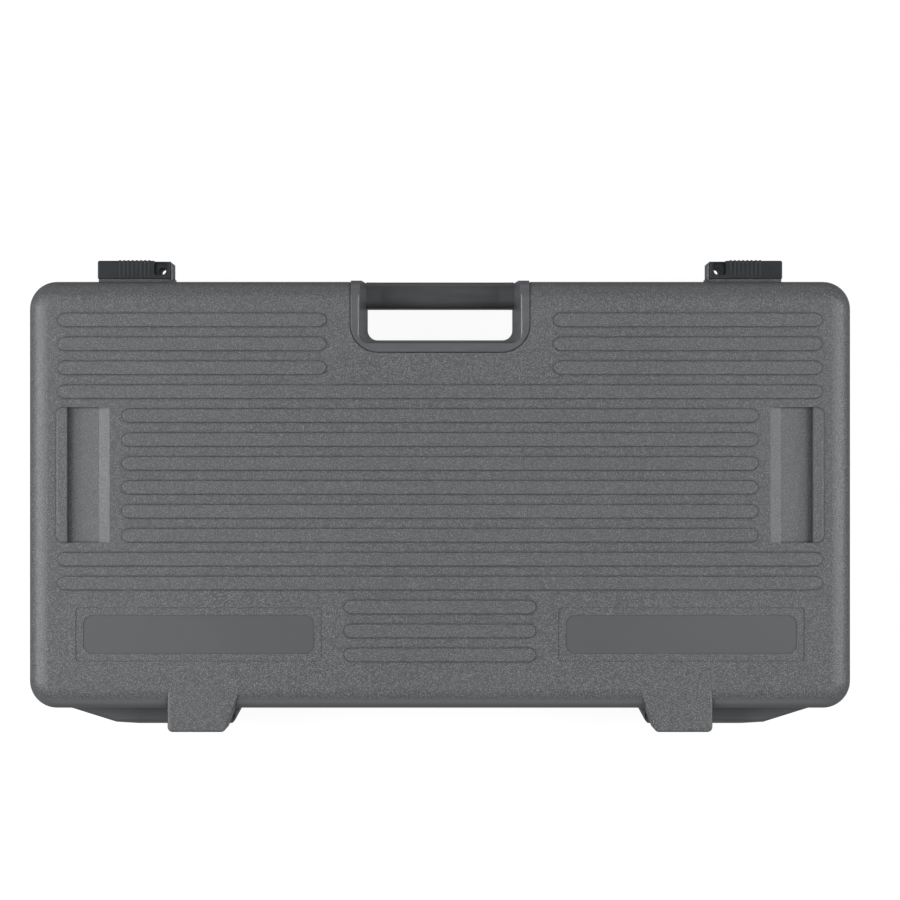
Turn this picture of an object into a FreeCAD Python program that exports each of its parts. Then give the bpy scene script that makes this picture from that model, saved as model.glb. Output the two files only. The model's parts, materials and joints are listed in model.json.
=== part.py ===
import FreeCAD, Part
import math
import os

# Pedalboard carry case: a moulded base and a lift-off lid, lying flat with the lid on top.
# Millimetres. Origin at the middle of the underside. +X to the right along the long side,
# +Y towards the handle and latches, -Y towards the hinge feet, +Z up through the lid.

V = FreeCAD.Vector

# Case envelope
HALF_X = 330.0
HALF_Y = 171.4
UNDERSIDE_Z = 4.0
PARTING_Z = 78.0
PARTING_GAP = 0.3
FACE_Z = 133.0
CORNER_R = 22.0
LID_EDGE_R = 16.0
BASE_EDGE_R = 12.0
WALL = 3.0

# Raised beads and recesses on the lid face
RIB_WIDTH = 11.4
RIB_PITCH = 19.15
RIB_HEIGHT = 1.4
RIB_EDGE_R = 1.2
BEAD_ROOT = 1.0
FIRST_RIB_Y = 140.0
RIB_FULL = 305.6
RIB_INNER = 254.3
RIB_CENTRE = 76.6
RIB_BESIDE_HANDLE = 91.1
GRIP_RECESS_X = (264.3, 298.6)
GRIP_RECESS_Y = (-38.3, 70.2)
GRIP_RECESS_DEPTH = 6.4
GRIP_RECESS_RAMP = 9.0
GRIP_RECESS_FLAT = 3.0
GRIP_RECESS_LIP = 0.6
GRIP_RECESS_STEP = 4.2
RECESS_MARGIN_X = (298.6, 307.1)
PANEL_X = (94.6, 291.7)
PANEL_Y = (-133.4, -90.1)
PANEL_DEPTH = 0.5
BAR_INSET = 6.0
BAR_DEPTH = 0.4

# Handle
HANDLE_HALF = 71.7
HANDLE_BOTTOM_Y = 114.3
HANDLE_CORNER_R = 22.0
HANDLE_PROUD = 1.0
WELL_HALF_FACE = 64.2
WELL_HALF_MID = 59.2
WELL_Y_FACE = 122.2
WELL_Y_MID = 126.6
WELL_CORNER_R = 8.0
LID_NOTCH_GAP = 0.6
GRIP_Y = (152.0, 173.4)
GRIP_Z = (53.0, 85.0)
GRIP_FLARE = 1.2
GRIP_EDGE_R = 6.5
RING_OUTER_EDGE = 1.0
RING_INNER_EDGE = ((0.0, 1.6), (0.7, 0.6), (2.6, 0.0))
GRIP_FLARE_START = 48.0

# Hinge
HINGE_Y = -181.0
HINGE_Z = PARTING_Z
KNUCKLE_R = 7.0
HOOK_POCKET = 9.4
PIN_R = 3.0
PIN_RUNNING_GAP = 0.05
HOOK_GAP = 0.3
FOOT_Y = -190.0
LID_FOOT_IN = 162.0
LID_FOOT_IN_TOE = 172.6
LID_FOOT_BEND_Y = -162.0
LID_FOOT_TOE_R = 4.2
LID_FOOT_OUT = 218.2
LID_FOOT_Z = 87.0
HOOK_X = (179.2, 205.0)
BASE_FOOT_IN = 162.0
BASE_FOOT_IN_TOE = 172.0
BASE_FOOT_OUT = 310.0
BASE_FOOT_OUT_TOE = 250.6
BASE_FOOT_TOP_Y = -185.3
BASE_FOOT_SETBACK_Y = -183.0
FOOT_DRAFT_START_Z = 30.0
KNUCKLE_IN_X = (172.6, 178.6)
KNUCKLE_OUT_X = (205.6, 217.9)

# Latches, built at +X and mirrored
SHELF_X = (215.2, 276.6)
SHELF_Y = 174.9
SHELF_TOP_Z = 100.0
STOP_X = (216.2, 217.7)
STOP_Y = 188.0
SLIDER_X = (218.1, 277.1)
SLIDER_Y = (175.2, 189.5)
SLIDER_Z = (64.0, 103.4)
SLIDER_TRAVEL = 12.0
SLIDER_RIB_X = (235.3, 259.0)
SLIDER_RIB_COUNT = 8
SLIDER_RIB_HEIGHT = 0.5
STEP_X = 231.5
PADLOCK_X = 224.9
PADLOCK_Y = 181.4
PADLOCK_R = 2.85
STUD_X = 250.0
STUD_Z = 90.0
STUD_R = 3.0
STUD_END_Y = 171.7
TRACK_HALF = 3.6
TRACK_FLOOR_Y = 171.2
RAIL_X = (243.6, 264.2)
RAIL_PLATE_X = (236.0, 268.0)
RAIL_PLATE_Z = (48.0, 76.0)
RAIL_PLATE_Y = 173.4
RAIL_STEM_Z = (69.0, 74.0)
RAIL_HEAD_Z = (66.8, 76.4)
RAIL_HEAD_Y = (177.4, 181.6)
RAIL_GAP = 0.4
LATCH_SCREW_Z = 54.0
PADLOCK_WINDOW_X = (220.9, 231.5)
PADLOCK_WINDOW_Y = (178.0, 188.0)
PADLOCK_WINDOW_DEPTH = 4.0

# Feet under the base
PAD_X = (-285.0, 0.0, 285.0)
PAD_Y = (-135.0, 88.0)
PAD_R = 14.0
PAD_SCREW_R = 2.0
PAD_POST_R = 6.5
PAD_POST_H = 3.0

# Foam and the compartments in the base
TRAY_HALF_X = 325.5
TRAY_Y = (-166.9, 109.0)
TRAY_TOP_Z = 62.0
TRAY_FLOOR = 12.0
BAY_HALF_X = 308.0
BAY_Y = (-150.0, 96.0)
BAY_CORNER_R = 3.0
DIVIDER_X = 103.0
DIVIDER_THICK = 12.0
LID_FOAM_Z = (104.0, 129.6)
LID_FOAM_CLEAR = 2.0

# Junction box
BOX_X = (92.0, 308.0)
BOX_Y = (115.0, 157.0)
BOX_TOP_Z = 50.0
BOX_WALL = 2.0
COVER_THICK = 2.0
JACK_X = (112.0, 142.0, 172.0, 202.0)
JACK_Y = 136.0
JACK_BUSH_R = 4.5
JACK_BORE_R = 3.2
OUTLET_X = (232.0, 248.0, 264.0, 280.0)
OUTLET_Y = 128.0
INLET_X = 264.0
INLET_Y = 146.0


def box(x, y, z):
    """Block between two values on each axis."""
    return Part.makeBox(x[1] - x[0], y[1] - y[0], z[1] - z[0], V(x[0], y[0], z[0]))


def cylinder(radius, start, axis, length):
    return Part.makeCylinder(radius, length, V(*start), V(*axis))


def mirrored(shape):
    """The same piece on the other side of the YZ plane."""
    return shape.mirror(V(0, 0, 0), V(1, 0, 0))


def fuse(shapes):
    return shapes[0].fuse(shapes[1:]).removeSplitter()


def edges_where(shape, test):
    return [edge for edge in shape.Edges if test(edge)]


def is_vertical(edge):
    a, b = edge.Vertexes[0].Point, edge.Vertexes[-1].Point
    return abs(a.x - b.x) < 1e-6 and abs(a.y - b.y) < 1e-6 and abs(a.z - b.z) > 1e-3


def lies_at_z(edge, z):
    return all(abs(vertex.Point.z - z) < 1e-6 for vertex in edge.Vertexes)


def prism(points, z):
    """Straight-sided prism on a closed outline in the XY plane."""
    corners = [V(x, y, z[0]) for x, y in points]
    face = Part.Face(Part.makePolygon(corners + corners[:1]))
    return face.extrude(V(0, 0, z[1] - z[0]))


def rounded_block(x, y, z, corner_r, top_r=0.0, bottom_r=0.0):
    """Block with rounded upright corners, then rounded edges round its top or its bottom."""
    block = box(x, y, z)
    block = block.makeFillet(corner_r, edges_where(block, is_vertical))
    if top_r > 0.0:
        block = block.makeFillet(top_r, edges_where(block, lambda edge: lies_at_z(edge, z[1])))
    if bottom_r > 0.0:
        block = block.makeFillet(bottom_r, edges_where(block, lambda edge: lies_at_z(edge, z[0])))
    return block


def handle_prism(offset, z):
    """Plan of the handle housing, a U open towards +Y, grown by an offset."""
    half = HANDLE_HALF + offset
    low = HANDLE_BOTTOM_Y - offset
    block = box((-half, half), (low, HALF_Y + 40.0), z)
    low_corners = edges_where(block, lambda edge: is_vertical(edge) and edge.Vertexes[0].Point.y < low + 1.0)
    return block.makeFillet(HANDLE_CORNER_R + offset, low_corners)


def bead(x, y_centre, z):
    """Round-ended raised bar with a soft upper edge, sunk a little into what carries it."""
    half = RIB_WIDTH / 2.0
    top = z + RIB_HEIGHT
    bar = box(x, (y_centre - half, y_centre + half), (z - BEAD_ROOT, top))
    bar = bar.makeFillet(half - 0.01, edges_where(bar, is_vertical))
    return bar.makeFillet(RIB_EDGE_R, edges_where(bar, lambda edge: lies_at_z(edge, top)))


def rib_spans(row):
    """The X spans of the beads in one row, counted from the handle side."""
    if row < 3:
        return [(-RIB_FULL, -RIB_BESIDE_HANDLE), (RIB_BESIDE_HANDLE, RIB_FULL)]
    if row in (3, 10, 11):
        return [(-RIB_FULL, RIB_FULL)]
    if row < 10:
        return [(-RIB_INNER, RIB_INNER)]
    return [(-RIB_CENTRE, RIB_CENTRE)]


def lid_face_beads():
    beads = []
    for row in range(15):
        y = FIRST_RIB_Y - RIB_PITCH * row
        beads += [bead(span, y, FACE_Z) for span in rib_spans(row)]
    return beads


def wedge_recess(grow):
    """Finger recess in the lid face at +X: deepest at its outer side, sloping up inward."""
    inner, outer = GRIP_RECESS_X[0] - grow, GRIP_RECESS_X[1] + grow
    bottom = FACE_Z - GRIP_RECESS_DEPTH - grow
    above = FACE_Z + 5.0
    low, high = GRIP_RECESS_Y[0] - grow, GRIP_RECESS_Y[1] + grow
    corners = [V(inner, low, above), V(inner, low, FACE_Z - GRIP_RECESS_LIP - grow),
               V(inner + GRIP_RECESS_RAMP, low, FACE_Z - GRIP_RECESS_STEP - grow),
               V(outer - GRIP_RECESS_FLAT, low, bottom), V(outer, low, bottom), V(outer, low, above)]
    side = Part.Face(Part.makePolygon(corners + corners[:1]))
    return side.extrude(V(0, high - low, 0))


def lid_foot():
    """Standing foot of the lid at +X, flush with the lid face, with its hook for the hinge pin."""
    start_y = -HALF_Y + LID_EDGE_R
    plan = [(LID_FOOT_IN, start_y), (LID_FOOT_IN, LID_FOOT_BEND_Y), (LID_FOOT_IN_TOE, FOOT_Y),
            (LID_FOOT_OUT, FOOT_Y), (LID_FOOT_OUT, start_y)]
    block = prism(plan, (LID_FOOT_Z, FACE_Z))
    toe = edges_where(block, lambda edge: is_vertical(edge) and edge.Vertexes[0].Point.y < FOOT_Y + 1.0)
    block = block.makeFillet(LID_FOOT_TOE_R, toe)
    front = edges_where(block, lambda edge: lies_at_z(edge, FACE_Z) and edge.CenterOfMass.y < -HALF_Y)
    block = block.makeFillet(2.0, front)
    inside = rounded_block((-HALF_X + WALL, HALF_X - WALL), (-HALF_Y + WALL, 0.0),
                           (PARTING_Z, FACE_Z - WALL), CORNER_R - WALL, top_r=LID_EDGE_R - WALL)
    block = block.cut(inside)
    neck_y = (HINGE_Y - KNUCKLE_R, HINGE_Y + KNUCKLE_R)
    neck = box(HOOK_X, neck_y, (HINGE_Z, LID_FOOT_Z + 1.0))
    eye = cylinder(KNUCKLE_R, (HOOK_X[0], HINGE_Y, HINGE_Z), (1, 0, 0), HOOK_X[1] - HOOK_X[0])
    hook_r = PIN_R + HOOK_GAP
    bore = cylinder(hook_r, (HOOK_X[0] - 1, HINGE_Y, HINGE_Z), (1, 0, 0), HOOK_X[1] - HOOK_X[0] + 2)
    mouth = box((HOOK_X[0] - 1, HOOK_X[1] + 1), (HINGE_Y - hook_r, HINGE_Y + hook_r),
                (HINGE_Z - KNUCKLE_R - 1, HINGE_Z))
    return fuse([block, neck, eye]).cut(bore).cut(mouth)


def latch_shelf():
    """Lid side of the latch at +X: a shelf with the L-shaped track for the slider's stud, and a stop."""
    z = (PARTING_Z + PARTING_GAP, SHELF_TOP_Z)
    shelf = box(SHELF_X, (HALF_Y - 1.0, SHELF_Y), z)
    stop = prism([(STOP_X[0], SHELF_Y - 1), (STOP_X[0], STOP_Y - 1), (STOP_X[0] + 1, STOP_Y),
                  (STOP_X[1], STOP_Y), (STOP_X[1], SHELF_Y - 1)], (z[0], SLIDER_Z[1]))
    way_in = box((STUD_X - TRACK_HALF, STUD_X + TRACK_HALF), (TRACK_FLOOR_Y, SHELF_Y + 1),
                 (z[0] - 1, STUD_Z + TRACK_HALF))
    along = box((STUD_X - TRACK_HALF, STUD_X + SLIDER_TRAVEL + TRACK_HALF), (TRACK_FLOOR_Y, SHELF_Y + 1),
                (STUD_Z - TRACK_HALF, STUD_Z + TRACK_HALF))
    return fuse([shelf, stop]).cut(way_in).cut(along)


def panel_cuts():
    """Shallow field on the lid face at +X with a plain smooth bar sunk in it."""
    field = rounded_block(PANEL_X, PANEL_Y, (FACE_Z - PANEL_DEPTH, FACE_Z + 3.0), 3.0)
    bar = rounded_block((PANEL_X[0] + BAR_INSET, PANEL_X[1] - BAR_INSET),
                        (PANEL_Y[0] + BAR_INSET, PANEL_Y[1] - BAR_INSET),
                        (FACE_Z - PANEL_DEPTH - BAR_DEPTH, FACE_Z), 8.0)
    return field.fuse(bar)


def lid_shell():
    z = (PARTING_Z + PARTING_GAP, FACE_Z)
    body = rounded_block((-HALF_X, HALF_X), (-HALF_Y, HALF_Y), z, CORNER_R, top_r=LID_EDGE_R)
    feet = [lid_foot(), mirrored(lid_foot())]
    cavity = rounded_block((-HALF_X + WALL, HALF_X - WALL), (-HALF_Y + WALL, HALF_Y - WALL),
                           (PARTING_Z - 5.0, FACE_Z - WALL), CORNER_R - WALL, top_r=LID_EDGE_R - WALL)
    cavity = cavity.cut(handle_prism(LID_NOTCH_GAP + WALL, (0.0, 200.0)))
    pocket = wedge_recess(WALL)
    cavity = cavity.cut(pocket).cut(mirrored(pocket))
    body = body.cut(cavity)
    shelves = [latch_shelf(), mirrored(latch_shelf())]
    margin = margin_bead()
    body = fuse([body] + feet + shelves + lid_face_beads() + [margin, mirrored(margin)])
    body = body.cut(handle_prism(LID_NOTCH_GAP, (0.0, 200.0)))
    recess = wedge_recess(0.0)
    panel = panel_cuts()
    for cutter in (recess, mirrored(recess), panel, mirrored(panel)):
        body = body.cut(cutter)
    return body


def margin_bead():
    """Raised edge outside the finger recess at +X, with rounded outer corners."""
    block = box(RECESS_MARGIN_X, GRIP_RECESS_Y, (FACE_Z - BEAD_ROOT, FACE_Z + RIB_HEIGHT))
    outer = edges_where(block, lambda edge: is_vertical(edge)
                        and edge.Vertexes[0].Point.x > RECESS_MARGIN_X[1] - 0.1)
    block = block.makeFillet(5.5, outer)
    top = edges_where(block, lambda edge: lies_at_z(edge, FACE_Z + RIB_HEIGHT)
                      and edge.CenterOfMass.x > RECESS_MARGIN_X[0] + 0.1)
    return block.makeFillet(RIB_EDGE_R, top)


def foot_draft():
    """What the slope of the base feet takes off: they stand back towards the parting line."""
    low, high = FOOT_DRAFT_START_Z, PARTING_Z + 1.0
    corners = [V(0, FOOT_Y, low), V(0, BASE_FOOT_TOP_Y, high),
               V(0, FOOT_Y - 5, high), V(0, FOOT_Y - 5, low)]
    side = Part.Face(Part.makePolygon(corners + corners[:1]))
    return side.extrude(V(HALF_X, 0, 0))


def base_foot():
    """Standing foot of the base at +X with the two knuckles that carry the hinge pin."""
    start_y = -HALF_Y + WALL
    plan = [(BASE_FOOT_IN, start_y), (BASE_FOOT_IN, -HALF_Y), (BASE_FOOT_IN_TOE, FOOT_Y),
            (BASE_FOOT_OUT_TOE, FOOT_Y), (BASE_FOOT_OUT, -HALF_Y), (BASE_FOOT_OUT, start_y)]
    foot = prism(plan, (UNDERSIDE_Z + BASE_EDGE_R, PARTING_Z - PARTING_GAP))
    toes = edges_where(foot, lambda edge: is_vertical(edge) and edge.Vertexes[0].Point.y < FOOT_Y + 1.0)
    foot = foot.makeFillet(4.0, toes)
    low_rim = edges_where(foot, lambda edge: edge.CenterOfMass.y < -HALF_Y - 1.0
                          and lies_at_z(edge, UNDERSIDE_Z + BASE_EDGE_R))
    foot = foot.makeFillet(3.0, low_rim).cut(foot_draft())
    rim = edges_where(foot, lambda edge: edge.CenterOfMass.y < -HALF_Y - 1.0
                      and lies_at_z(edge, PARTING_Z - PARTING_GAP))
    foot = foot.makeFillet(2.5, rim)
    setback = box((BASE_FOOT_IN - 5, LID_FOOT_OUT + 0.5), (FOOT_Y - 1, BASE_FOOT_SETBACK_Y),
                  (40.0, PARTING_Z + 5))
    foot = foot.cut(setback)
    knuckles = []
    for span in (KNUCKLE_IN_X, KNUCKLE_OUT_X):
        eye = cylinder(KNUCKLE_R, (span[0], HINGE_Y, HINGE_Z), (1, 0, 0), span[1] - span[0])
        web = box(span, (BASE_FOOT_SETBACK_Y, HINGE_Y + KNUCKLE_R), (50.0, HINGE_Z))
        knuckles += [eye, web]
    foot = fuse([foot] + knuckles)
    pocket_x = (KNUCKLE_IN_X[1], KNUCKLE_OUT_X[0])
    pocket = box(pocket_x, (FOOT_Y - 1, -HALF_Y), (HINGE_Z - HOOK_POCKET, HINGE_Z + 10))
    bore = cylinder(PIN_R + PIN_RUNNING_GAP, (KNUCKLE_IN_X[0] - 5, HINGE_Y, HINGE_Z), (1, 0, 0),
                    KNUCKLE_OUT_X[1] - KNUCKLE_IN_X[0] + 10)
    return foot.cut(pocket).cut(bore)


def pad_places():
    return [(x, y) for x in PAD_X for y in PAD_Y]


def latch_screw_places():
    return [(RAIL_PLATE_X[0] + 6.0, LATCH_SCREW_Z), (RAIL_PLATE_X[1] - 6.0, LATCH_SCREW_Z)]


def handle_screw_places():
    """Start point and direction of each screw that holds the handle housing, heads inside the base."""
    inside = HANDLE_BOTTOM_Y - WALL
    along_y = [((x, inside, z), (0, 1, 0)) for x in (-42.0, 42.0) for z in (22.0, 60.0)]
    side = HANDLE_HALF + WALL
    along_x = [((side, 150.0, 40.0), (-1, 0, 0)), ((-side, 150.0, 40.0), (1, 0, 0))]
    return along_y + along_x


def base_shell():
    z = (UNDERSIDE_Z, PARTING_Z)
    body = rounded_block((-HALF_X, HALF_X), (-HALF_Y, HALF_Y), z, CORNER_R, bottom_r=BASE_EDGE_R)
    cavity = rounded_block((-HALF_X + WALL, HALF_X - WALL), (-HALF_Y + WALL, HALF_Y - WALL),
                           (UNDERSIDE_Z + WALL, PARTING_Z + 5.0), CORNER_R - WALL,
                           bottom_r=BASE_EDGE_R - WALL)
    cavity = cavity.cut(handle_prism(WALL, (0.0, 200.0)))
    body = body.cut(cavity)
    floor = UNDERSIDE_Z + WALL
    posts = [cylinder(PAD_POST_R, (x, y, floor - 1.0), (0, 0, 1), PAD_POST_H + 1.0)
             for x, y in pad_places()]
    strips = []
    for row in range(4, 12):
        y = FIRST_RIB_Y - RIB_PITCH * row
        strip = bead((-RIB_INNER, RIB_INNER), y, -UNDERSIDE_Z)
        strips.append(strip.mirror(V(0, 0, 0), V(0, 0, 1)))
    body = fuse([body, base_foot(), mirrored(base_foot())] + posts + strips)
    body = body.cut(handle_prism(0.0, (0.0, 200.0)))
    for x, y in pad_places():
        body = body.cut(cylinder(PAD_SCREW_R + 0.05, (x, y, 0.0), (0, 0, 1), floor + PAD_POST_H - 1.0))
        body = body.cut(cylinder(PAD_R, (x, y, 0.0), (0, 0, 1), UNDERSIDE_Z))
    for x, z_screw in latch_screw_places():
        hole = cylinder(2.1, (x, HALF_Y - WALL - 1, z_screw), (0, 1, 0), WALL + 2)
        body = body.cut(hole).cut(mirrored(hole))
    for start, axis in handle_screw_places():
        back = V(*start) - V(*axis)
        body = body.cut(Part.makeCylinder(2.1, WALL + 2, back, V(*axis)))
    return body


def well_wire(half, low, z):
    """Outline of the handle's well at one height: rounded lower corners, running out past +Y."""
    outline = box((-half, half), (low, HALF_Y + 30.0), (0.0, 1.0))
    corners = edges_where(outline, lambda edge: is_vertical(edge) and edge.Vertexes[0].Point.y < low + 1.0)
    outline = outline.makeFillet(WELL_CORNER_R, corners)
    bottom = [face for face in outline.Faces if abs(face.CenterOfMass.z) < 1e-6][0]
    wire = bottom.OuterWire.copy()
    wire.translate(V(0, 0, z))
    return wire


def handle_well():
    """The clear space in the housing, narrowest at mid height, where the grip crosses it."""
    low, high = UNDERSIDE_Z - HANDLE_PROUD, FACE_Z + HANDLE_PROUD
    levels = [(0.01 - drop, WELL_HALF_FACE + out, WELL_Y_FACE - out) for drop, out in RING_INNER_EDGE]
    wires = [well_wire(half, y, low - rise) for rise, half, y in levels]
    wires.append(well_wire(WELL_HALF_MID, WELL_Y_MID, sum(GRIP_Z) / 2.0))
    wires += [well_wire(half, y, high + rise) for rise, half, y in reversed(levels)]
    return Part.makeLoft(wires, True, True)


def ring_solid(z):
    """The housing's outer plan between two heights, with its face edges eased."""
    wires = []
    for height, offset in ((z[0], -RING_OUTER_EDGE), (z[0] + RING_OUTER_EDGE, 0.0),
                           (z[1] - RING_OUTER_EDGE, 0.0), (z[1], -RING_OUTER_EDGE)):
        plan = handle_prism(offset, (height, height + 1.0))
        bottom = [face for face in plan.Faces if abs(face.CenterOfMass.z - height) < 1e-6][0]
        wires.append(bottom.OuterWire)
    return Part.makeLoft(wires, True, True)


def handle_housing():
    """Moulded surround of the handle: a U-shaped wall from the underside to the lid face."""
    proud_z = (UNDERSIDE_Z - HANDLE_PROUD, FACE_Z + HANDLE_PROUD)
    reach = HALF_Y + HANDLE_PROUD
    envelope = rounded_block((-HALF_X, HALF_X), (-reach, reach), proud_z, CORNER_R,
                             top_r=LID_EDGE_R, bottom_r=BASE_EDGE_R)
    body = envelope.common(ring_solid(proud_z)).cut(handle_well())
    for start, axis in handle_screw_places():
        body = body.cut(Part.makeCylinder(1.55, WALL + 6.1, V(*start), V(*axis)))
    return body


def grip_wire(x, grow):
    """Section of the grip across its length, a rounded oblong, deeper in Z by a growth each way."""
    slab = box((0.0, 1.0), GRIP_Y, (GRIP_Z[0] - grow, GRIP_Z[1] + grow))
    along = edges_where(slab, lambda edge: abs(edge.Vertexes[0].Point.x - edge.Vertexes[-1].Point.x) > 0.5)
    slab = slab.makeFillet(GRIP_EDGE_R, along)
    end = [face for face in slab.Faces if abs(face.CenterOfMass.x) < 1e-6][0]
    wire = end.OuterWire.copy()
    wire.translate(V(x, 0, 0))
    return wire


def handle_grip():
    """Grip bar across the well, flared where it meets the housing, cut to the well's own walls."""
    reach = WELL_HALF_FACE + 1.0
    bar = Part.makeLoft([grip_wire(-GRIP_FLARE_START, 0.0), grip_wire(GRIP_FLARE_START, 0.0)], True, True)
    flares = []
    for side in (-1.0, 1.0):
        inner = grip_wire(side * GRIP_FLARE_START, 0.0)
        outer = grip_wire(side * reach, GRIP_FLARE)
        flares.append(Part.makeLoft([inner, outer], True, True))
    grip = bar.fuse(flares)
    return grip.common(handle_well())


def handle_screws():
    screws = []
    for start, axis in handle_screw_places():
        origin, along = V(*start), V(*axis)
        shank = Part.makeCylinder(1.5, WALL + 6.0, origin, along)
        head = Part.makeCylinder(3.2, 2.0, origin - along * 2.0, along)
        slot = Part.makeCylinder(1.2, 1.0, origin - along * 2.0, along)
        screws.append(head.fuse(shank).cut(slot))
    return Part.makeCompound(screws)


def hinge_pin():
    span = (KNUCKLE_IN_X[0] + 0.4, KNUCKLE_OUT_X[1] - 0.4)
    pin = cylinder(PIN_R, (span[0], HINGE_Y, HINGE_Z), (1, 0, 0), span[1] - span[0])
    rims = edges_where(pin, lambda edge: edge.Closed and edge.Curve.TypeId == "Part::GeomCircle")
    return pin.makeChamfer(0.5, rims)


def latch_rail():
    """T-shaped rail on a plate, screwed to the base wall at +X; the slider runs on it."""
    plate = box(RAIL_PLATE_X, (HALF_Y, RAIL_PLATE_Y), RAIL_PLATE_Z)
    plate = plate.makeFillet(3.0, edges_where(plate, lambda edge:
                             abs(edge.Vertexes[0].Point.y - edge.Vertexes[-1].Point.y) > 1.0))
    stem = box(RAIL_X, (RAIL_PLATE_Y, RAIL_HEAD_Y[0]), RAIL_STEM_Z)
    head = box(RAIL_X, RAIL_HEAD_Y, RAIL_HEAD_Z)
    rail = fuse([plate, stem, head])
    for x, z in latch_screw_places():
        rail = rail.cut(cylinder(2.1, (x, HALF_Y - 1, z), (0, 1, 0), RAIL_PLATE_Y - HALF_Y + 2))
    return rail


def latch_slider():
    """Thumb slider at +X with grip ribs, padlock hole, T-slot and the stud that holds the lid shelf."""
    body = box(SLIDER_X, SLIDER_Y, SLIDER_Z)
    outer_end = edges_where(body, lambda edge: is_vertical(edge)
                            and edge.Vertexes[0].Point.x > SLIDER_X[1] - 1
                            and edge.Vertexes[0].Point.y > SLIDER_Y[1] - 1)
    body = body.makeFillet(1.6, outer_end)
    rim = edges_where(body, lambda edge: edge.CenterOfMass.y > SLIDER_Y[0] + 1.0
                      and (lies_at_z(edge, SLIDER_Z[0]) or lies_at_z(edge, SLIDER_Z[1])))
    body = body.makeFillet(1.0, rim)
    step = box((SLIDER_X[0] - 1, STEP_X), (SLIDER_Y[1] - 0.8, SLIDER_Y[1] + 1),
               (SLIDER_Z[0] - 1, SLIDER_Z[1] + 1))
    body = body.cut(step)
    pitch = (SLIDER_RIB_X[1] - SLIDER_RIB_X[0]) / (SLIDER_RIB_COUNT - 1)
    ribs = []
    for index in range(SLIDER_RIB_COUNT):
        x = SLIDER_RIB_X[0] + pitch * index
        rib = box((x - 0.8, x + 0.8), (SLIDER_Y[0] + 1.0, SLIDER_Y[1] + SLIDER_RIB_HEIGHT),
                  (SLIDER_Z[0] + 2.0, SLIDER_Z[1] + SLIDER_RIB_HEIGHT))
        crest = edges_where(rib, lambda edge: edge.Length > 10.0
                            and (edge.CenterOfMass.y > SLIDER_Y[1] or edge.CenterOfMass.z > SLIDER_Z[1]))
        rib = rib.makeFillet(0.45, crest)
        ribs.append(rib)
    slot_start = RAIL_X[0] - SLIDER_TRAVEL - RAIL_GAP
    lip = box((slot_start, SLIDER_X[1] + 1), (SLIDER_Y[0] - 1, RAIL_HEAD_Y[0]),
              (RAIL_STEM_Z[0] - RAIL_GAP, RAIL_STEM_Z[1] + RAIL_GAP))
    pocket = box((slot_start, SLIDER_X[1] + 1), (RAIL_HEAD_Y[0] - RAIL_GAP, RAIL_HEAD_Y[1] + RAIL_GAP),
                 (RAIL_HEAD_Z[0] - RAIL_GAP, RAIL_HEAD_Z[1] + RAIL_GAP))
    stud = cylinder(STUD_R, (STUD_X, STUD_END_Y, STUD_Z), (0, 1, 0), SLIDER_Y[0] + 1 - STUD_END_Y)
    body = fuse([body] + ribs + [stud])
    hole = cylinder(PADLOCK_R, (PADLOCK_X, PADLOCK_Y, SLIDER_Z[0] - 1), (0, 0, 1), 50.0)
    window = rounded_block(PADLOCK_WINDOW_X, PADLOCK_WINDOW_Y,
                           (SLIDER_Z[1] - PADLOCK_WINDOW_DEPTH, SLIDER_Z[1] + 2.0), 2.0)
    return body.cut(lip).cut(pocket).cut(hole).cut(window)


def latch_spring():
    """Bowed leaf on the rail plate at +X that steadies the slider."""
    thick, rise = 0.4, 1.0
    left, right = RAIL_PLATE_X[0] + 4.0, RAIL_PLATE_X[1] - 4.0
    middle = (left + right) / 2.0
    inner = Part.Arc(V(left, RAIL_PLATE_Y, 0), V(middle, RAIL_PLATE_Y + rise, 0), V(right, RAIL_PLATE_Y, 0))
    outer = Part.Arc(V(right, RAIL_PLATE_Y + thick, 0), V(middle, RAIL_PLATE_Y + rise + thick, 0),
                     V(left, RAIL_PLATE_Y + thick, 0))
    ends = [Part.makeLine(V(right, RAIL_PLATE_Y, 0), V(right, RAIL_PLATE_Y + thick, 0)),
            Part.makeLine(V(left, RAIL_PLATE_Y + thick, 0), V(left, RAIL_PLATE_Y, 0))]
    wire = Part.Wire(Part.__sortEdges__([inner.toShape(), outer.toShape()] + ends))
    leaf = Part.Face(wire).extrude(V(0, 0, 1.5))
    leaf.translate(V(0, 0, RAIL_STEM_Z[1] + 0.3))
    return leaf


def latch_screws():
    screws = []
    for x, z in latch_screw_places():
        head = cylinder(3.4, (x, RAIL_PLATE_Y, z), (0, 1, 0), 2.0)
        slot = cylinder(1.4, (x, RAIL_PLATE_Y + 1.0, z), (0, 1, 0), 1.1)
        shank = cylinder(2.0, (x, HALF_Y - WALL - 4.0, z), (0, 1, 0), RAIL_PLATE_Y - HALF_Y + WALL + 4.0)
        screw = head.fuse(shank).cut(slot)
        screws += [screw, mirrored(screw)]
    return Part.makeCompound(screws)


def hexagon(across, centre, axis, length):
    """Hexagonal prism standing on a centre point along Y or Z."""
    radius = across / math.sqrt(3.0)
    corners = []
    for index in range(7):
        angle = math.radians(60.0 * index)
        u, w = radius * math.cos(angle), radius * math.sin(angle)
        offset = V(u, 0, w) if axis[1] else V(u, w, 0)
        corners.append(V(*centre) + offset)
    return Part.Face(Part.makePolygon(corners)).extrude(V(*axis) * length)


def latch_nuts():
    nuts = []
    for x, z in latch_screw_places():
        start_y = HALF_Y - WALL
        nut = hexagon(7.0, (x, start_y, z), (0, -1, 0), 3.0)
        nut = nut.cut(cylinder(2.05, (x, start_y - 4, z), (0, 1, 0), 5.0))
        nuts += [nut, mirrored(nut)]
    return Part.makeCompound(nuts)


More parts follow.
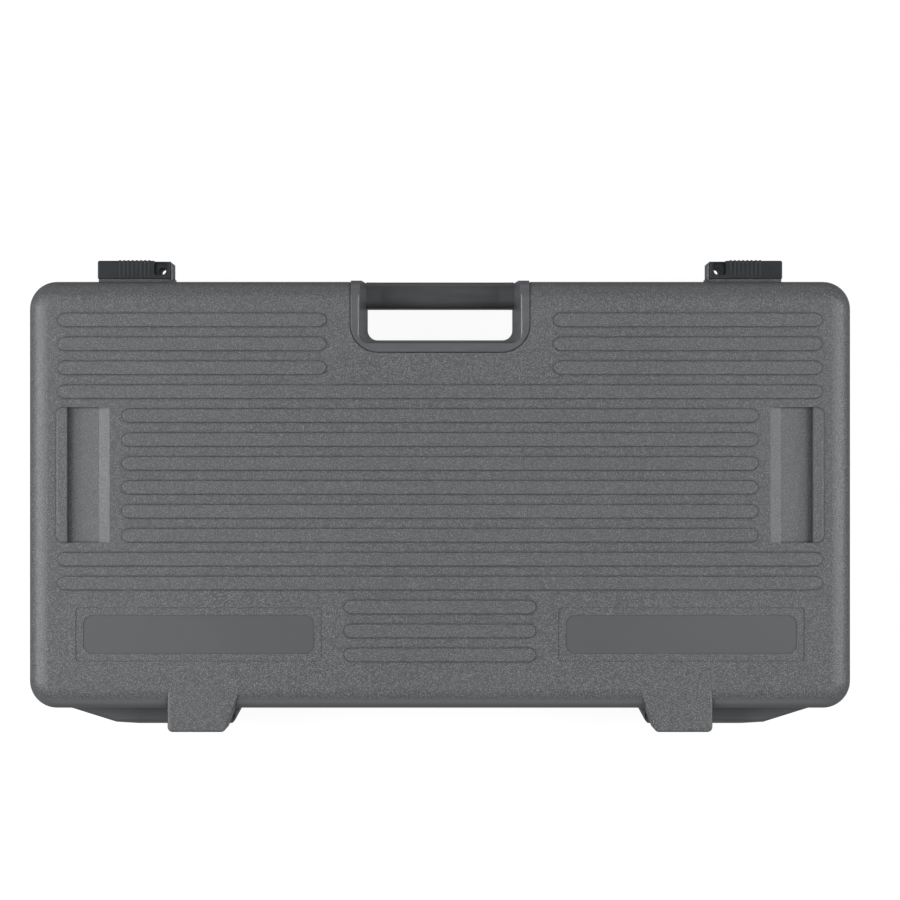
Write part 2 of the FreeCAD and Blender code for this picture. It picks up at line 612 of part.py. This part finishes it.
def rubber_foot(x, y):
    pad = cylinder(PAD_R - 0.1, (x, y, 0.0), (0, 0, 1), UNDERSIDE_Z)
    pad = pad.makeFillet(1.2, edges_where(pad, lambda edge: edge.Closed and lies_at_z(edge, 0.0)))
    pad = pad.cut(cylinder(4.4, (x, y, -1.0), (0, 0, 1), 3.2))
    return pad.cut(cylinder(PAD_SCREW_R + 0.1, (x, y, -1.0), (0, 0, 1), 10.0))


def foot_screws():
    screws = []
    for x, y in pad_places():
        head = cylinder(3.8, (x, y, 0.7), (0, 0, 1), 1.5)
        slot = cylinder(1.5, (x, y, 0.6), (0, 0, 1), 0.9)
        shank = cylinder(PAD_SCREW_R, (x, y, 2.2), (0, 0, 1), 6.6)
        screws.append(head.fuse(shank).cut(slot))
    return Part.makeCompound(screws)


def foam_floor():
    """Foam sheet on the floor of the base, hollowed under the posts of the rubber feet."""
    floor = UNDERSIDE_Z + WALL
    sheet = rounded_block((-TRAY_HALF_X, TRAY_HALF_X), TRAY_Y, (floor, floor + TRAY_FLOOR),
                          CORNER_R - WALL + 1.0, bottom_r=BASE_EDGE_R - WALL + 1.0)
    for x, y in pad_places():
        sheet = sheet.cut(cylinder(PAD_POST_R + 1.0, (x, y, 0.0), (0, 0, 1), floor + PAD_POST_H + 0.5))
    return sheet


def foam_surround():
    """Foam frame on the sheet, round the pedal bays."""
    z = (UNDERSIDE_Z + WALL + TRAY_FLOOR, TRAY_TOP_Z)
    block = rounded_block((-TRAY_HALF_X, TRAY_HALF_X), TRAY_Y, z, CORNER_R - WALL + 1.0)
    return block.cut(rounded_block((-BAY_HALF_X, BAY_HALF_X), BAY_Y, (z[0] - 1, z[1] + 1), BAY_CORNER_R))


def foam_divider(x):
    half = DIVIDER_THICK / 2.0
    floor = UNDERSIDE_Z + WALL + TRAY_FLOOR
    return box((x - half, x + half), (BAY_Y[0], BAY_Y[1]), (floor, TRAY_TOP_Z))


def lid_foam():
    reach_x, reach_y = HALF_X - WALL - LID_FOAM_CLEAR, HALF_Y - WALL - LID_FOAM_CLEAR
    slab = rounded_block((-reach_x, reach_x), (-reach_y, reach_y), LID_FOAM_Z,
                         CORNER_R - WALL, top_r=LID_EDGE_R - WALL)
    slab = slab.cut(handle_prism(LID_NOTCH_GAP + WALL + LID_FOAM_CLEAR, (0.0, 200.0)))
    low, high = GRIP_RECESS_Y[0] - WALL - LID_FOAM_CLEAR, GRIP_RECESS_Y[1] + WALL + LID_FOAM_CLEAR
    notch = box((GRIP_RECESS_X[0] - WALL - LID_FOAM_CLEAR - 4.0, HALF_X), (low, high), (100.0, 140.0))
    return slab.cut(notch).cut(mirrored(notch))


def junction_box():
    floor = UNDERSIDE_Z + WALL
    outer = rounded_block(BOX_X, BOX_Y, (floor, BOX_TOP_Z), 3.0)
    inner = box((BOX_X[0] + BOX_WALL, BOX_X[1] - BOX_WALL), (BOX_Y[0] + BOX_WALL, BOX_Y[1] - BOX_WALL),
                (floor + BOX_WALL, BOX_TOP_Z + 1))
    shell = outer.cut(inner)
    height = BOX_TOP_Z - floor - 1.0
    posts = [cylinder(4.0, (x, y, floor + 1.0), (0, 0, 1), height) for x, y in box_screw_places()]
    shell = fuse([shell] + posts)
    for x, y in box_screw_places():
        shell = shell.cut(cylinder(1.3, (x, y, BOX_TOP_Z - 8.0), (0, 0, 1), 9.0))
    return shell


def box_screw_places():
    inset = 5.0
    return [(x, y) for x in (BOX_X[0] + inset, BOX_X[1] - inset)
            for y in (BOX_Y[0] + inset, BOX_Y[1] - inset)]


def junction_cover():
    plate = rounded_block(BOX_X, BOX_Y, (BOX_TOP_Z, BOX_TOP_Z + COVER_THICK), 3.0)
    holes = [cylinder(JACK_BUSH_R + 0.1, (x, JACK_Y, BOX_TOP_Z - 1), (0, 0, 1), 5.0) for x in JACK_X]
    holes += [cylinder(5.0, (x, OUTLET_Y, BOX_TOP_Z - 1), (0, 0, 1), 5.0) for x in OUTLET_X]
    holes += [cylinder(5.0, (INLET_X, INLET_Y, BOX_TOP_Z - 1), (0, 0, 1), 5.0)]
    holes += [cylinder(1.6, (x, y, BOX_TOP_Z - 1), (0, 0, 1), 5.0) for x, y in box_screw_places()]
    for hole in holes:
        plate = plate.cut(hole)
    return plate


def junction_screws():
    top = BOX_TOP_Z + COVER_THICK
    screws = []
    for x, y in box_screw_places():
        head = cylinder(2.8, (x, y, top), (0, 0, 1), 1.6)
        slot = cylinder(1.1, (x, y, top + 0.8), (0, 0, 1), 1.0)
        shank = cylinder(1.25, (x, y, top - 9.0), (0, 0, 1), 9.0)
        screws.append(head.fuse(shank).cut(slot))
    return Part.makeCompound(screws)


def jack_socket(x):
    """Panel jack: a square body under the cover and a threaded bush through it."""
    body = box((x - 8.0, x + 8.0), (JACK_Y - 8.0, JACK_Y + 8.0), (BOX_TOP_Z - 26.0, BOX_TOP_Z))
    bush = cylinder(JACK_BUSH_R, (x, JACK_Y, BOX_TOP_Z), (0, 0, 1), COVER_THICK + 4.0)
    bore = cylinder(JACK_BORE_R, (x, JACK_Y, BOX_TOP_Z - 22.0), (0, 0, 1), 40.0)
    return body.fuse(bush).cut(bore)


def jack_nuts():
    top = BOX_TOP_Z + COVER_THICK
    nuts = []
    for x in JACK_X:
        nut = hexagon(13.0, (x, JACK_Y, top), (0, 0, 1), 2.4)
        nuts.append(nut.cut(cylinder(JACK_BUSH_R + 0.05, (x, JACK_Y, top - 1), (0, 0, 1), 5.0)))
    return Part.makeCompound(nuts)


def power_socket(x, y):
    """Round coaxial power socket with its centre pin."""
    shell = cylinder(4.95, (x, y, BOX_TOP_Z - 12.0), (0, 0, 1), 12.0 + COVER_THICK + 1.0)
    well = cylinder(2.75, (x, y, BOX_TOP_Z - 9.0), (0, 0, 1), 20.0)
    pin = cylinder(1.0, (x, y, BOX_TOP_Z - 9.5), (0, 0, 1), 10.0)
    return shell.cut(well).fuse(pin)


def power_outlets():
    return Part.makeCompound([power_socket(x, OUTLET_Y) for x in OUTLET_X])


def circuit_board():
    """Board under the jacks and power sockets."""
    top = BOX_TOP_Z - 26.0
    return box((BOX_X[0] + 10.0, BOX_X[1] - 10.0), (BOX_Y[0] + 3.0, BOX_Y[1] - 3.0), (top - 1.6, top))


def nodes():
    found = {
        "base_shell": base_shell(),
        "lid_shell": lid_shell(),
        "handle_housing": handle_housing(),
        "handle_grip": handle_grip(),
        "handle_screws": handle_screws(),
        "latch_screws": latch_screws(),
        "latch_nuts": latch_nuts(),
        "foot_screws": foot_screws(),
        "foam_floor": foam_floor(),
        "foam_surround": foam_surround(),
        "foam_divider_left": foam_divider(-DIVIDER_X),
        "foam_divider_right": foam_divider(DIVIDER_X),
        "lid_foam": lid_foam(),
        "junction_box": junction_box(),
        "junction_cover": junction_cover(),
        "junction_screws": junction_screws(),
        "jack_nuts": jack_nuts(),
        "power_outlets": power_outlets(),
        "power_inlet": power_socket(INLET_X, INLET_Y),
        "circuit_board": circuit_board(),
    }
    handed = {"hinge_pin": hinge_pin(), "latch_rail": latch_rail(),
              "latch_slider": latch_slider(), "latch_spring": latch_spring()}
    for name, shape in handed.items():
        found[name + "_right"] = shape
        found[name + "_left"] = mirrored(shape)
    for index, (x, y) in enumerate(pad_places()):
        found["rubber_foot_%d" % (index + 1)] = rubber_foot(x, y)
    for name, x in zip(("input", "send", "return", "output"), JACK_X):
        found["jack_" + name] = jack_socket(x)
    return found


os.makedirs("parts", exist_ok=True)
for node, shape in nodes().items():
    if not shape.isValid():
        print("not valid:", node)
    shape.exportStep("parts/%s.step" % node)
    print("%-22s solids %2d  volume %10.0f" % (node, len(shape.Solids), shape.Volume))
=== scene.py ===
import json

import bpy
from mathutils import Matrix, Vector


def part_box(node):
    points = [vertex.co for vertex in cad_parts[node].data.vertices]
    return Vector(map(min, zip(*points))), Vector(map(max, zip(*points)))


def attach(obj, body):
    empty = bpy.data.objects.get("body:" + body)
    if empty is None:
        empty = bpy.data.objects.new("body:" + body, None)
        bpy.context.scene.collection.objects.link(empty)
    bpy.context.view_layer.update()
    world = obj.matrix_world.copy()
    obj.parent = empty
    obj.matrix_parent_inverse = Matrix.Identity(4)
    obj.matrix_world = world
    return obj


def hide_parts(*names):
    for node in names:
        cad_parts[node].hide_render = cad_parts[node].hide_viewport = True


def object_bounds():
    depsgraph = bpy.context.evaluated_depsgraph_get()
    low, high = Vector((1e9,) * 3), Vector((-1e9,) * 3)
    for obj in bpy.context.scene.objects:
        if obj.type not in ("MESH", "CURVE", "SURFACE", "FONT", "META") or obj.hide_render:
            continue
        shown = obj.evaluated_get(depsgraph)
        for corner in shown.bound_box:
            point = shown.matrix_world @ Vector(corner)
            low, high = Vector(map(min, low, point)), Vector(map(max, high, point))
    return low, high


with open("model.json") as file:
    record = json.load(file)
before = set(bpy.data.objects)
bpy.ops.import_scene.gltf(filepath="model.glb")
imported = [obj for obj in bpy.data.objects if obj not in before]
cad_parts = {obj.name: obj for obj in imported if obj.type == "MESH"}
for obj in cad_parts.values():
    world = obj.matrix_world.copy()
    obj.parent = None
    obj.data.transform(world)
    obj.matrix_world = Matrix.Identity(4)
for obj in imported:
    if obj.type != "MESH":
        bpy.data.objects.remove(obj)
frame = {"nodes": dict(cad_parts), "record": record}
cad_low, cad_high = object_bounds()

# ---------------------------------------------------------------- places on the case, in metres
BEAD_HEIGHT = 0.0014
FACE_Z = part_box("lid_shell")[1].z - BEAD_HEIGHT     # the lid's flat top, between its beads
WALL_Y = 0.1714                                     # half the case's depth, without feet and latches
ROUNDING_START = 0.013                              # from the long wall inwards to where its rounding starts
ROUNDING_SMOOTH = 0.005                             # and to where the grain has died away on it
ROUNDING_DEPTH = 0.003
BAR_X = (0.1006, 0.2857)                            # the two smooth sunk bars, one each side of the middle
BAR_Y = (-0.1274, -0.0961)
BAR_FLOOR_DEPTH = 0.00075                           # anything deeper in a bar's outline is its floor
SHALLOW = 0.0006                                    # depth that still counts as the lid's face
BAR_BLUR = 0.0006                                   # width over which a bar's mask fades outside it

# ---------------------------------------------------------------- camera
CAMERA_HEIGHT = 2.6                                 # above the lid's flat top
VIEW_WIDTH = 0.7202                                 # seen across the picture at that flat top
LOOK_AT_Y = 0.0039                                  # where the camera stands on the case's middle line
SENSOR_MM = 36.0
SHIFT_LEFT = 0.0111
SHIFT_DOWN = 0.0444


def make_camera():
    """Square-on to the lid, the object a little left of and below the middle of the picture."""
    data = bpy.data.cameras.new("camera")
    data.sensor_width = SENSOR_MM
    data.lens = SENSOR_MM * CAMERA_HEIGHT / VIEW_WIDTH
    data.shift_x = SHIFT_LEFT
    data.shift_y = SHIFT_DOWN
    data.clip_end = 30.0
    camera = bpy.data.objects.new("camera", data)
    camera.location = (0.0, LOOK_AT_Y, FACE_Z + CAMERA_HEIGHT)
    bpy.context.scene.collection.objects.link(camera)
    bpy.context.scene.camera = camera


# ---------------------------------------------------------------- shader helpers
def shade(colour, factor):
    """The colour made darker or, with a factor over 1, lighter."""
    return tuple(channel * factor for channel in colour)


class Shader:
    """One node material: a Principled shader and short calls that add nodes before it."""

    def __init__(self, name, roughness=0.5, metallic=0.0, **sockets):
        self.material = bpy.data.materials.new(name)
        self.material.use_nodes = True
        self.tree = self.material.node_tree
        self.tree.nodes.clear()
        self.out = self.tree.nodes.new("ShaderNodeOutputMaterial")
        self.principled = self.tree.nodes.new("ShaderNodeBsdfPrincipled")
        self.join(self.principled.outputs[0], self.out.inputs[0])
        self.principled.inputs["Roughness"].default_value = roughness
        self.principled.inputs["Metallic"].default_value = metallic
        for socket, value in sockets.items():
            self.principled.inputs[socket.replace("_", " ")].default_value = value
        self.place = self.node("ShaderNodeTexCoord").outputs["Object"]
        self.relief = None

    def node(self, kind, **settings):
        made = self.tree.nodes.new(kind)
        for key, value in settings.items():
            setattr(made, key, value)
        return made

    def join(self, source, target):
        self.tree.links.new(source, target)

    def feed(self, socket, value):
        """Sets a socket to a number or a colour, or joins another node's output to it."""
        if isinstance(value, (int, float)):
            socket.default_value = value
        elif isinstance(value, tuple):
            socket.default_value = (*value, 1.0)
        else:
            self.join(value, socket)

    def math(self, operation, a, b=0.0):
        made = self.node("ShaderNodeMath", operation=operation)
        self.feed(made.inputs[0], a)
        self.feed(made.inputs[1], b)
        return made.outputs[0]

    def times(self, a, b):
        return self.math("MULTIPLY", a, b)

    def noise(self, size, detail=2.0, roughness=0.5, stretch=(1.0, 1.0, 1.0)):
        """Noise whose features are about size metres across."""
        mapping = self.node("ShaderNodeMapping")
        mapping.inputs["Scale"].default_value = stretch
        self.join(self.place, mapping.inputs[0])
        made = self.node("ShaderNodeTexNoise")
        self.join(mapping.outputs[0], made.inputs["Vector"])
        made.inputs["Scale"].default_value = 0.5 / size
        made.inputs["Detail"].default_value = detail
        made.inputs["Roughness"].default_value = roughness
        return made.outputs["Fac"]

    def voronoi(self, size):
        made = self.node("ShaderNodeTexVoronoi", feature="F1")
        self.join(self.place, made.inputs["Vector"])
        made.inputs["Scale"].default_value = 1.0 / size
        return made.outputs

    def cells(self, size):
        """0 in the middle of each cell about size metres across, rising towards its border."""
        return self.voronoi(size)["Distance"]

    def cell_tones(self, size):
        """A random value from 0 to 1 for each cell about size metres across."""
        parts = self.node("ShaderNodeSeparateColor")
        self.join(self.voronoi(size)["Color"], parts.inputs[0])
        return parts.outputs[0]

    def span(self, value, low, high, to_low=0.0, to_high=1.0):
        """Smooth step of a value from one range to another."""
        made = self.node("ShaderNodeMapRange", interpolation_type="SMOOTHSTEP")
        self.feed(made.inputs["Value"], value)
        for socket, number in zip(("From Min", "From Max", "To Min", "To Max"),
                                  (low, high, to_low, to_high)):
            self.feed(made.inputs[socket], number)
        return made.outputs["Result"]

    def band(self, value, limits, blur):
        """1 where the value is between two limits, falling to 0 over the blur outside them."""
        low, high = limits
        return self.times(self.span(value, low - blur, low), self.span(value, high, high + blur, 1.0, 0.0))

    def mix(self, factor, a, b):
        made = self.node("ShaderNodeMix", data_type="RGBA")
        self.feed(made.inputs["Factor"], factor)
        self.feed(made.inputs[6], a)
        self.feed(made.inputs[7], b)
        return made.outputs[2]

    def axes(self):
        made = self.node("ShaderNodeSeparateXYZ")
        self.join(self.place, made.inputs[0])
        return made.outputs

    def end_facing(self):
        """0 where the surface faces along Y or Z, rising to 1 where it faces along X."""
        parts = self.node("ShaderNodeSeparateXYZ")
        self.join(self.node("ShaderNodeNewGeometry").outputs["Normal"], parts.inputs[0])
        return self.span(self.math("ABSOLUTE", parts.outputs[0]), 0.15, 0.55)

    def creases(self, reach):
        """1 in the open, less where surfaces meet in a corner within reach."""
        made = self.node("ShaderNodeAmbientOcclusion", samples=6, only_local=True)
        made.inputs["Distance"].default_value = reach
        return made.outputs["AO"]

    def edges(self, reach):
        """0 on flats, rising to 1 where an edge is nearer than reach."""
        bevel = self.node("ShaderNodeBevel", samples=4)
        bevel.inputs["Radius"].default_value = reach
        flat = self.node("ShaderNodeNewGeometry")
        dot = self.node("ShaderNodeVectorMath", operation="DOT_PRODUCT")
        self.join(bevel.outputs[0], dot.inputs[0])
        self.join(flat.outputs["Normal"], dot.inputs[1])
        return self.span(dot.outputs["Value"], 1.0, 0.9)

    def bump(self, value, metres, strength=1.0):
        """Adds relief of a height in metres; several calls stack."""
        made = self.node("ShaderNodeBump")
        self.feed(made.inputs["Strength"], strength)
        made.inputs["Distance"].default_value = metres
        self.join(value, made.inputs["Height"])
        if self.relief is not None:
            self.join(self.relief, made.inputs["Normal"])
        self.relief = made.outputs[0]

    def finish(self, colour, roughness=None):
        self.feed(self.principled.inputs["Base Color"], colour)
        if roughness is not None:
            self.join(roughness, self.principled.inputs["Roughness"])
        if self.relief is not None:
            self.join(self.relief, self.principled.inputs["Normal"])
        return self.material


# ---------------------------------------------------------------- materials
CASE_GREY = (0.118, 0.121, 0.126)
BAR_GREY = (0.080, 0.083, 0.087)
# The base is the lid's resin made darker: painted shade for the base's feet, which lie deeper and in the
# lid's shadow.
BASE_PAINTED_SHADE = 0.78
GRAIN_SIZE = 0.00095
SATIN_SPREAD = 0.06
LINES_ALONG_X = (0.1, 1.0, 1.0)
LINES_ALONG_Z = (1.0, 1.0, 0.2)


def long_edge_rounding(s, y, z):
    """1 on the rounding of the lid's hinge-side edge and on all that is beyond and below it, else 0."""
    near_wall = s.span(y, ROUNDING_START - WALL_Y, ROUNDING_SMOOTH - WALL_Y)
    below_face = s.span(z, FACE_Z - SHALLOW, FACE_Z - ROUNDING_DEPTH)
    return s.times(near_wall, below_face)


def smooth_bars(s, x, y, z):
    """1 on the floors of the two smooth sunk bars, 0 elsewhere."""
    outline = s.times(s.band(s.math("ABSOLUTE", x), BAR_X, BAR_BLUR), s.band(y, BAR_Y, BAR_BLUR))
    return s.times(outline, s.span(z, FACE_Z - BAR_FLOOR_DEPTH, FACE_Z - SHALLOW, 1.0, 0.0))


def case_plastic(name, grey, bars=False):
    """Moulded resin with a coarse cast grain that dies away on the long rounded edge, and painted shade in
    its creases.
    """
    s = Shader(name, roughness=0.45, Specular_IOR_Level=0.6)
    x, y, z = s.axes()
    grain = s.math("SUBTRACT", 1.0, s.times(long_edge_rounding(s, y, z), 0.8))
    if bars:
        bar = smooth_bars(s, x, y, z)
        grain = s.times(grain, s.math("SUBTRACT", 1.0, bar))
    crown = s.span(s.cells(GRAIN_SIZE), 0.62, 0.15)
    patches = s.noise(size=0.06, detail=4.0, roughness=0.6)

    shaded = s.mix(crown, shade(grey, 0.62), shade(grey, 0.84))
    speckled = s.mix(s.times(crown, s.cell_tones(GRAIN_SIZE)), shaded, shade(grey, 1.78))
    colour = s.mix(grain, shade(grey, 0.98), speckled)
    colour = s.mix(s.span(patches, 0.35, 0.7, 0.0, 0.06), colour, shade(grey, 1.3))
    if bars:
        colour = s.mix(s.times(bar, 0.8), colour, BAR_GREY)
    # Painted shade: darker where faces meet in corners, such as at the feet of the beads. It is kept off
    # faces turned along X, so the bead ends stay light.
    ends_kept_unshaded = s.math("SUBTRACT", 1.0, s.times(s.end_facing(), 0.9))
    painted_crease_shade = s.times(s.span(s.creases(reach=0.0022), 0.98, 0.62, 0.0, 0.75), ends_kept_unshaded)
    colour = s.mix(painted_crease_shade, colour, shade(grey, 0.25))
    worn = s.span(s.noise(size=0.012, detail=5.0, roughness=0.7), 0.52, 0.68)
    scuffs = s.times(s.edges(reach=0.0012), worn)
    colour = s.mix(s.times(scuffs, 0.35), colour, shade(grey, 1.9))

    s.bump(crown, metres=0.00011, strength=grain)
    s.bump(s.noise(size=0.0006, detail=1.0), metres=0.00007, strength=grain)
    s.bump(s.noise(size=0.0002), metres=0.00002, strength=0.8)
    roughness = s.math("ADD", s.span(patches, 0.3, 0.7, 0.35, 0.40), s.times(grain, 0.03))
    return s.finish(colour, roughness)


def satin_plastic(name, grey, roughness, hollow=0.0, specular=0.5):
    """Smooth satin moulding with a faint skin texture and handling marks, with painted shade in its corners.

    hollow, from 0 to 1, is how much painted shade darkens it inside large hollows.
    """
    s = Shader(name, roughness=roughness, Specular_IOR_Level=specular)
    marks = s.noise(size=0.02, detail=6.0, roughness=0.7, stretch=(1.0, 5.0, 1.0))
    colour = s.mix(s.span(marks, 0.35, 0.7), shade(grey, 0.94), shade(grey, 1.07))
    # Painted shade: darker where faces meet in corners.
    colour = s.mix(s.span(s.creases(reach=0.003), 0.98, 0.55, 0.0, 0.55), colour, shade(grey, 0.35))
    if hollow:
        # Painted shade inside the handle's well and other large hollows.
        painted_hollow_shade = s.span(s.creases(reach=0.07), 0.95, 0.45, 0.0, hollow)
        colour = s.mix(painted_hollow_shade, colour, shade(grey, 0.3))
    worn = s.span(s.noise(size=0.008, detail=4.0, roughness=0.7), 0.45, 0.65)
    colour = s.mix(s.times(s.times(s.edges(reach=0.0009), worn), 0.4), colour, shade(grey, 2.0))
    s.bump(s.noise(size=0.0004, detail=3.0, roughness=0.6), metres=0.00003, strength=0.7)
    spots = s.span(marks, 0.3, 0.72, roughness - SATIN_SPREAD, roughness + SATIN_SPREAD)
    return s.finish(colour, spots)


def brushed_metal(name, grey, roughness, stretch=LINES_ALONG_X):
    """Drawn or turned steel: fine lines one way, with duller stains."""
    s = Shader(name, roughness=roughness, metallic=1.0)
    lines = s.noise(size=0.0003, detail=3.0, roughness=0.7, stretch=stretch)
    stains = s.noise(size=0.006, detail=4.0, roughness=0.6)
    colour = s.mix(s.span(lines, 0.3, 0.7), shade(grey, 0.82), shade(grey, 1.1))
    colour = s.mix(s.span(stains, 0.5, 0.75, 0.0, 0.4), colour, shade(grey, 0.6))
    s.bump(lines, metres=0.00002, strength=0.6)
    return s.finish(colour, s.span(stains, 0.3, 0.7, roughness - 0.07, roughness + 0.12))


def foam(name, grey):
    """Open-cell foam: a web of tiny dark cells, softly mottled."""
    s = Shader(name, roughness=0.95, Specular_IOR_Level=0.2, Sheen_Weight=0.25, Sheen_Roughness=0.6)
    holes = s.cells(size=0.0012)
    mottle = s.noise(size=0.03, detail=4.0, roughness=0.6)
    colour = s.mix(s.span(holes, 0.15, 0.6), shade(grey, 1.5), shade(grey, 0.45))
    colour = s.mix(s.span(mottle, 0.3, 0.7, 0.0, 0.35), colour, shade(grey, 1.6))
    s.bump(holes, metres=0.0006)
    s.bump(s.cells(size=0.0006), metres=0.0003, strength=0.8)
    s.bump(mottle, metres=0.0015, strength=0.3)
    return s.finish(colour)


def rubber(name, grey):
    """Matte black rubber with patches of grey dust."""
    s = Shader(name, roughness=0.8, Specular_IOR_Level=0.35)
    dust = s.noise(size=0.004, detail=5.0, roughness=0.7)
    colour = s.mix(s.span(dust, 0.45, 0.8, 0.0, 0.5), grey, shade(grey, 2.4))
    s.bump(s.noise(size=0.0006, detail=3.0), metres=0.00008, strength=0.8)
    return s.finish(colour, s.span(dust, 0.3, 0.8, 0.7, 0.92))


def circuit_board_material(name):
    """Green solder mask with copper tracks showing through as paler lines."""
    s = Shader(name, roughness=0.35, Specular_IOR_Level=0.5)
    along = s.axes()[0]
    wander = s.times(s.noise(size=0.02), 0.01)
    tracks = s.math("PINGPONG", s.math("ADD", along, wander), 0.002)
    colour = s.mix(s.span(tracks, 0.0006, 0.0009), (0.05, 0.20, 0.09), (0.02, 0.10, 0.045))
    s.bump(tracks, metres=0.00005, strength=0.6)
    return s.finish(colour, s.span(s.noise(size=0.01), 0.3, 0.7, 0.3, 0.45))


def floor_material():
    """White paper that glows a little, so that shadows on it stay pale."""
    s = Shader("studio_floor", roughness=0.9, Specular_IOR_Level=0.0,
               Emission_Color=(1.0, 1.0, 1.0, 1.0), Emission_Strength=0.93)
    return s.finish(s.mix(s.noise(size=0.4, detail=3.0), (0.12, 0.12, 0.12), (0.13, 0.13, 0.13)))


def paint_nodes():
    """Gives every CAD node the finish of its material slot, and returns the finishes by slot."""
    by_slot = {
        "case_lid": case_plastic("lid_resin", CASE_GREY, bars=True),
        # A darker copy of the lid resin, as painted shade.
        "case_base": case_plastic("base_resin_painted_shade", shade(CASE_GREY, BASE_PAINTED_SHADE)),
        "handle_surround": satin_plastic("surround_satin", (0.098, 0.103, 0.109), 0.34, hollow=0.95),
        "handle_grip": satin_plastic("grip_satin", (0.066, 0.070, 0.074), 0.34, hollow=0.6),
        "latch_black": satin_plastic("latch_satin", (0.020, 0.024, 0.027), 0.40, specular=0.3),
        "screw_steel": brushed_metal("screw_steel_lines", (0.45, 0.45, 0.46), 0.38),
        "pin_steel": brushed_metal("pin_steel_lines", (0.60, 0.60, 0.61), 0.30),
        "rail_steel": brushed_metal("rail_steel_lines", (0.36, 0.36, 0.37), 0.42),
        "nickel": brushed_metal("nickel_plate", (0.68, 0.66, 0.62), 0.20, LINES_ALONG_Z),
        "rubber": rubber("foot_rubber", (0.022, 0.022, 0.024)),
        "box_plastic": satin_plastic("junction_box_plastic", (0.040, 0.041, 0.045), 0.50),
        "cover_metal": satin_plastic("junction_cover_coat", (0.055, 0.056, 0.060), 0.48),
        "socket_black": satin_plastic("socket_plastic", (0.016, 0.016, 0.018), 0.30),
        "board": circuit_board_material("solder_mask"),
        "foam": foam("charcoal_foam", (0.040, 0.040, 0.044)),
    }
    for row in frame["record"]["subparts"]:
        node = frame["nodes"][row["node"]]
        node.data.materials.clear()
        node.data.materials.append(by_slot[row["material_slot"]])
    return by_slot


# ---------------------------------------------------------------- foam pieces
FOAM_VOXEL = 0.004
FOAM_SMOOTHING = 3
FOAM_UNEVENNESS = 0.0012
FOAM_WAVE = 0.03


def add_foam_modifiers(piece):
    """Remeshes the plain solid, rounds its edges and pushes its surface a little in and out."""
    remesh = piece.modifiers.new("remesh", "REMESH")
    remesh.mode = "VOXEL"
    remesh.voxel_size = FOAM_VOXEL
    soften = piece.modifiers.new("soften", "SMOOTH")
    soften.factor = 0.5
    soften.iterations = FOAM_SMOOTHING
    uneven = bpy.data.textures.new(piece.name + "_uneven", "CLOUDS")
    uneven.noise_scale = FOAM_WAVE
    push = piece.modifiers.new("push", "DISPLACE")
    push.texture = uneven
    push.strength = FOAM_UNEVENNESS
    push.mid_level = 0.6


def foam_piece(node, body, materials):
    """A cut block of foam in place of its plain solid: softened edges and a slightly uneven surface."""
    piece = bpy.data.objects.new(node + "_soft", frame["nodes"][node].data.copy())
    bpy.context.scene.collection.objects.link(piece)
    add_foam_modifiers(piece)
    depsgraph = bpy.context.evaluated_depsgraph_get()
    mesh = bpy.data.meshes.new_from_object(piece.evaluated_get(depsgraph))
    piece.modifiers.clear()
    piece.data = mesh
    mesh.shade_smooth()
    mesh.materials.clear()
    mesh.materials.append(materials["foam"])
    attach(piece, body)
    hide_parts(node)


# ---------------------------------------------------------------- studio
FLOOR_SIZE = 24.0
FLOOR_GAP = 0.0002
SKY_COLOUR = (0.97, 0.98, 1.0, 1.0)
SKY_STRENGTH = 0.22


def area_light(name, place, aim_z, size, watts):
    """A soft box aimed at the case's middle, at the height aim_z."""
    data = bpy.data.lights.new(name, "AREA")
    data.shape = "RECTANGLE"
    data.size, data.size_y = size
    data.energy = watts
    light = bpy.data.objects.new(name, data)
    light.location = place
    towards_case = Vector((0.0, 0.0, aim_z)) - Vector(place)
    light.rotation_euler = towards_case.to_track_quat("-Z", "Y").to_euler()
    bpy.context.scene.collection.objects.link(light)


def make_floor():
    """A pale floor that the camera sees but that throws no light back on the object."""
    bpy.ops.mesh.primitive_plane_add(size=FLOOR_SIZE, location=(0.0, 0.0, cad_low.z - FLOOR_GAP))
    floor = bpy.context.object
    floor.name = "floor"
    floor.data.materials.append(floor_material())
    floor.visible_diffuse = False
    floor.visible_glossy = False


def make_lights():
    """High and low soft boxes at both ends, weak ones in front and behind, and a dim sky."""
    area_light("high_left", (-1.8, 0.1, 2.5), aim_z=0.1, size=(1.1, 1.5), watts=37.5)
    area_light("high_right", (1.8, 0.1, 2.5), aim_z=0.1, size=(1.1, 1.5), watts=33.0)
    area_light("low_left", (-2.1, 0.1, 1.0), aim_z=0.08, size=(0.9, 0.9), watts=22.0)
    area_light("low_right", (2.1, 0.1, 1.0), aim_z=0.08, size=(0.9, 0.9), watts=16.0)
    area_light("front_fill", (0.0, -2.4, 0.3), aim_z=0.07, size=(1.6, 0.6), watts=3.5)
    area_light("back_fill", (0.0, 2.4, 0.3), aim_z=0.07, size=(1.6, 0.6), watts=3.0)
    world = bpy.data.worlds.new("studio")
    world.use_nodes = True
    background = world.node_tree.nodes["Background"]
    background.inputs["Color"].default_value = SKY_COLOUR
    background.inputs["Strength"].default_value = SKY_STRENGTH
    bpy.context.scene.world = world
    bpy.context.scene.view_settings.view_transform = "Standard"


make_camera()
materials = paint_nodes()
for node, body, fill in (("foam_floor", "base", 0.9), ("foam_surround", "base", 0.9),
                         ("foam_divider_left", "base", 0.85), ("foam_divider_right", "base", 0.85),
                         ("lid_foam", "lid", 0.85)):
    foam_piece(node, body, materials)
make_floor()
make_lights()
